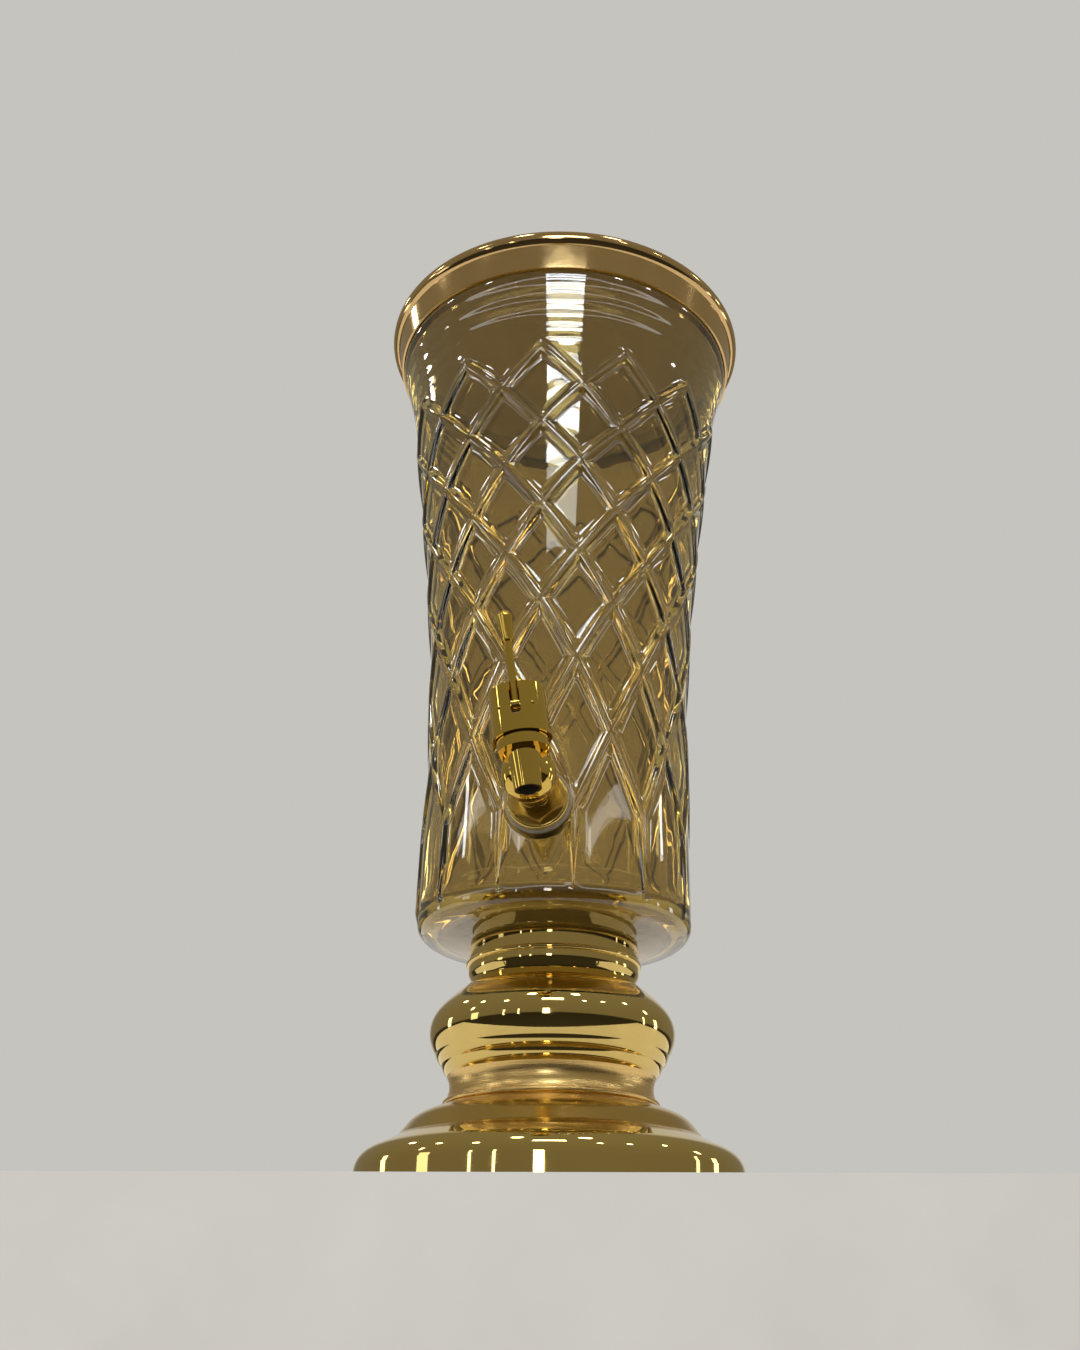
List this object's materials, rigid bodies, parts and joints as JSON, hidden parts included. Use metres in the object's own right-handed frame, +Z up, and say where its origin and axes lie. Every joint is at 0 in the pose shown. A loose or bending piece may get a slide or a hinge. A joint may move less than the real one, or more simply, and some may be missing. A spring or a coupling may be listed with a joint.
{
  "type": "beverage dispenser",
  "caption": "Flared glass jar with a raised diamond lattice on a turned metal pedestal, with a lift-off lid and a lever tap that pours drinks.",
  "frame": {"origin": "middle of the pedestal's underside, on the table", "axes": "+Z up along the jar's axis, the tap towards -Y, +X to the right when facing the tap"},
  "size_m": [0.2004, 0.2235, 0.5179],
  "materials": {
    "polished_gold": "mirror polish",
    "satin_gold": "satin",
    "tap_gold": "polish",
    "amber_glass": "clear with a golden tint",
    "clear_silicone": "translucent",
    "black_rubber": "matte",
    "steel": "plain",
    "iron": "as cast",
    "white_plastic": "plain"
  },
  "bodies": {
    "base": {"foot_pad": "black_rubber", "foot_plate": "steel", "plate_screws": "steel", "ballast_disc": "iron", "foot_shell": "polished_gold", "waist_sleeve": "satin_gold", "bulb_shell": "polished_gold", "collar_cup": "polished_gold", "seat_ring": "clear_silicone", "tie_rod": "steel", "rod_washers": "steel", "rod_nuts": "steel", "glass_jar": "amber_glass", "tap_body": "tap_gold", "flange_nut": "tap_gold", "outer_gasket": "clear_silicone", "inner_gasket": "clear_silicone", "inner_washer": "steel", "lock_nut": "steel", "gland_bush": "white_plastic", "stem_o_ring": "black_rubber", "valve_spring": "steel", "spring_plate": "steel", "tap_bonnet": "tap_gold", "lever_pin": "steel"},
    "lid": {"lid_shell": "polished_gold", "lid_seal": "clear_silicone", "lid_knob": "polished_gold", "knob_washer": "steel", "knob_screw": "steel"},
    "lever": {"tap_lever": "tap_gold"},
    "stem": {"valve_stem": "steel", "valve_plug": "black_rubber"}
  },
  "joints": [
    {"name": "lid_lift", "type": "slide", "parent": "base", "child": "lid", "axis": [0, 0, 1], "range_m": [0, 0.12]},
    {"name": "lever_tilt", "type": "hinge", "parent": "base", "child": "lever", "pos_m": [-0.00337, -0.11706, 0.18847], "axis": [0.9903, 0, 0.1392], "range_deg": [0, 60], "stiffness_Nm_per_rad": 0.1},
    {"name": "stem_lift", "type": "slide", "parent": "base", "child": "stem", "axis": [-0.1392, 0, 0.9903], "range_m": [0, 0.0042], "deforming": ["valve_spring"]}
  ],
  "couplings": [
    {"joint": "stem_lift", "follows": "lever_tilt", "m_per_rad": 0.004}
  ]
}
